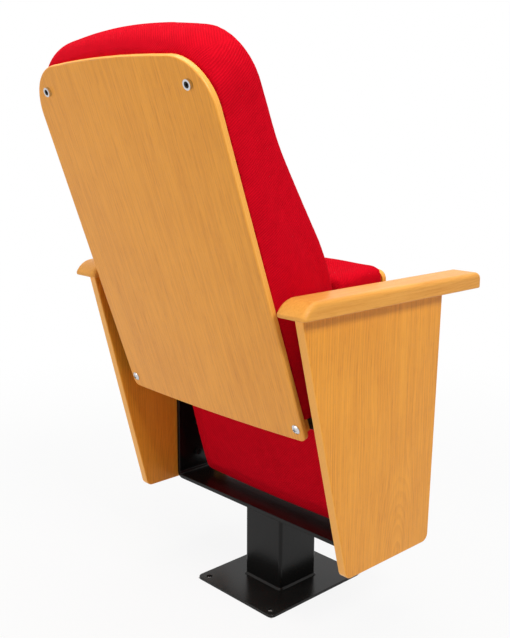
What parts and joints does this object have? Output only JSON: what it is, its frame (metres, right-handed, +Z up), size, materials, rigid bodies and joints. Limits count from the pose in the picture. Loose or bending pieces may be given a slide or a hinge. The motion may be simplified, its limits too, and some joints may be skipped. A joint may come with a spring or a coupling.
{
  "type": "tip up auditorium seat",
  "caption": "Tip-up auditorium seat: upholstered back and folding seat with wooden shells, wooden side boards and arm rests, on a steel U frame, central post and floor plate.",
  "frame": {"origin": "on the floor under the middle of the base plate, which is the middle of its rectangle of anchor holes", "axes": "+Z up; the sitter faces -Y; +X to the sitter's left; at rest the seat is folded up against the back"},
  "size_m": [0.616, 0.5881, 1.0479],
  "materials": {
    "powder_coat": "satin powder coat",
    "veneer": "satin lacquered veneer, upright grain",
    "arm_wood": "satin lacquer on solid wood",
    "plywood": "bare plywood and dowels",
    "fabric": "fine diagonal twill over foam",
    "bright_screws": "polished",
    "black_screws": "black oxide",
    "zinc_steel": "zinc plated",
    "spring_steel": "oiled spring wire",
    "bush_plastic": "natural nylon",
    "rubber": "matte"
  },
  "bodies": {
    "frame": {"arm_dowels_left": "plywood", "arm_dowels_right": "plywood", "arm_rest_left": "arm_wood", "arm_rest_right": "arm_wood", "back_board": "plywood", "back_bracket_left": "powder_coat", "back_bracket_right": "powder_coat", "back_cushion": "fabric", "back_inserts": "zinc_steel", "back_panel": "veneer", "base_plate": "powder_coat", "board_inserts_left": "zinc_steel", "board_inserts_right": "zinc_steel", "bottom_screws": "bright_screws", "bracket_screws_left": "zinc_steel", "bracket_screws_right": "zinc_steel", "frame_bolts_left": "black_screws", "frame_bolts_right": "black_screws", "hinge_housing_left": "powder_coat", "hinge_housing_right": "powder_coat", "hinge_pin_left": "zinc_steel", "hinge_pin_right": "zinc_steel", "housing_screws_left": "zinc_steel", "housing_screws_right": "zinc_steel", "post_tube": "powder_coat", "post_weld": "powder_coat", "return_spring_left": "spring_steel", "return_spring_right": "spring_steel", "side_board_left": "veneer", "side_board_right": "veneer", "stop_sleeves_left": "rubber", "stop_sleeves_right": "rubber", "stop_studs_left": "zinc_steel", "stop_studs_right": "zinc_steel", "top_cups": "bright_screws", "top_screws": "black_screws", "u_frame": "powder_coat"},
    "seat": {"seat_panel": "veneer", "seat_board": "plywood", "seat_cushion": "fabric", "seat_panel_screws": "zinc_steel", "hinge_plate_left": "powder_coat", "hinge_plate_right": "powder_coat", "hinge_bush_left": "bush_plastic", "hinge_bush_right": "bush_plastic", "hinge_plate_screws_left": "zinc_steel", "hinge_plate_screws_right": "zinc_steel"}
  },
  "joints": [
    {"name": "seat_hinge", "type": "hinge", "parent": "frame", "child": "seat", "pos_m": [0, -0.03, 0.34], "axis": [1, 0, 0], "range_deg": [0, 97], "stiffness_Nm_per_rad": 4, "springref_deg": -42.97, "deforming": ["return_spring_left", "return_spring_right"]}
  ]
}
